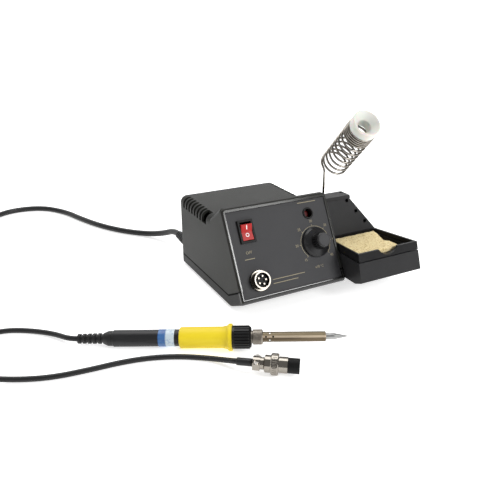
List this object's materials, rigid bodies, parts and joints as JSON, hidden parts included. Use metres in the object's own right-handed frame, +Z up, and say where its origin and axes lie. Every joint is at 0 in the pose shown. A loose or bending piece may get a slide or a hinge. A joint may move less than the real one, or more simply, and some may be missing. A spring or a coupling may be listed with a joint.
{
  "type": "soldering station",
  "caption": "Bench soldering station with a sloping control panel, a corded iron on a round plug, and a side rest with a spring holder and a lift-out sponge tray",
  "frame": {"origin": "on the table, under the middle of the box of everything but the free leads and their plugs", "axes": "+Z up; +X to the right of the control panel; +Y from the panel to the rear; the panel faces -Y and up"},
  "size_m": [0.4732, 0.4958, 0.1698],
  "materials": {
    "base_black": "satin",
    "case_grey": "fine texture",
    "panel_charcoal": "fine texture",
    "rubber_black": "matt",
    "screw_steel": "bright",
    "switch_black": "gloss",
    "rocker_red": "gloss",
    "brass": "plain",
    "lamp_red": "gloss",
    "aluminium": "satin",
    "chrome": "polished",
    "board_green": "satin",
    "core_iron": "matt",
    "copper": "lacquered",
    "sponge_tan": "porous",
    "funnel_white": "translucent white",
    "handle_black": "gloss",
    "label_blue": "printed film",
    "grip_yellow": "matt",
    "barrel_steel": "bright",
    "ceramic_white": "matt"
  },
  "bodies": {
    "station": {"base_tray": "base_black", "top_cover": "case_grey", "front_panel": "panel_charcoal", "rubber_feet": "rubber_black", "cover_screws": "screw_steel", "switch_housing": "switch_black", "switch_terminals": "brass", "lamp_bezel": "switch_black", "heater_lamp": "lamp_red", "potentiometer_body": "aluminium", "potentiometer_nut": "screw_steel", "socket_shell": "chrome", "socket_insert": "switch_black", "socket_pins": "brass", "socket_nut": "screw_steel", "circuit_board": "board_green", "board_screws": "screw_steel", "capacitor": "panel_charcoal", "triac": "switch_black", "terminal_block": "board_green", "transformer_core": "core_iron", "transformer_coil": "copper", "transformer_clamp": "screw_steel", "transformer_screws": "screw_steel", "mains_gland": "rubber_black", "mains_cord": "rubber_black", "mains_coil": "rubber_black", "mains_plug": "rubber_black", "mains_plug_pins": "chrome", "rest_body": "base_black", "rest_screws": "screw_steel", "spring_rest": "screw_steel", "rest_funnel": "funnel_white"},
    "rocker": {"power_rocker": "rocker_red"},
    "dial": {"temperature_knob": "switch_black", "potentiometer_shaft": "screw_steel"},
    "tray": {"sponge_tray": "base_black"},
    "sponge": {"cleaning_sponge": "sponge_tan"},
    "iron": {"iron_handle": "handle_black", "handle_label": "label_blue", "iron_grip": "grip_yellow", "lock_ring": "handle_black", "barrel_nut": "screw_steel", "heater_barrel": "barrel_steel", "heating_element": "ceramic_white", "soldering_tip": "barrel_steel", "iron_relief": "rubber_black", "iron_cord": "rubber_black", "lead_coil": "rubber_black", "plug_cord": "rubber_black", "plug_shell": "chrome", "plug_clamp": "chrome", "clamp_screws": "screw_steel", "plug_nose": "handle_black"},
    "coupling": {"plug_ring": "chrome"}
  },
  "joints": [
    {"name": "rocker_tilt", "type": "hinge", "parent": "station", "child": "rocker", "pos_m": [-0.00259, -0.01248, 0.0679], "axis": [1, 0, 0], "range_deg": [-20, 0]},
    {"name": "dial_turn", "type": "hinge", "parent": "station", "child": "dial", "pos_m": [0.06501, -0.02562, 0.05004], "axis": [0, -0.8738, 0.4863], "range_deg": [-135, 135]},
    {"name": "tray_lift", "type": "slide", "parent": "station", "child": "tray", "axis": [0, 0, 1], "range_m": [0, 0.035]},
    {"name": "sponge_lift", "type": "slide", "parent": "tray", "child": "sponge", "axis": [0, 0, 1], "range_m": [0, 0.02]},
    {"name": "iron_lift", "type": "slide", "parent": "station", "child": "iron", "axis": [0, 0, 1], "range_m": [0, 0.1]},
    {"name": "coupling_turn", "type": "hinge", "parent": "iron", "child": "coupling", "pos_m": [-0.03714, -0.12746, 0.0083], "axis": [0.808, -0.5892, 0], "continuous": true}
  ]
}
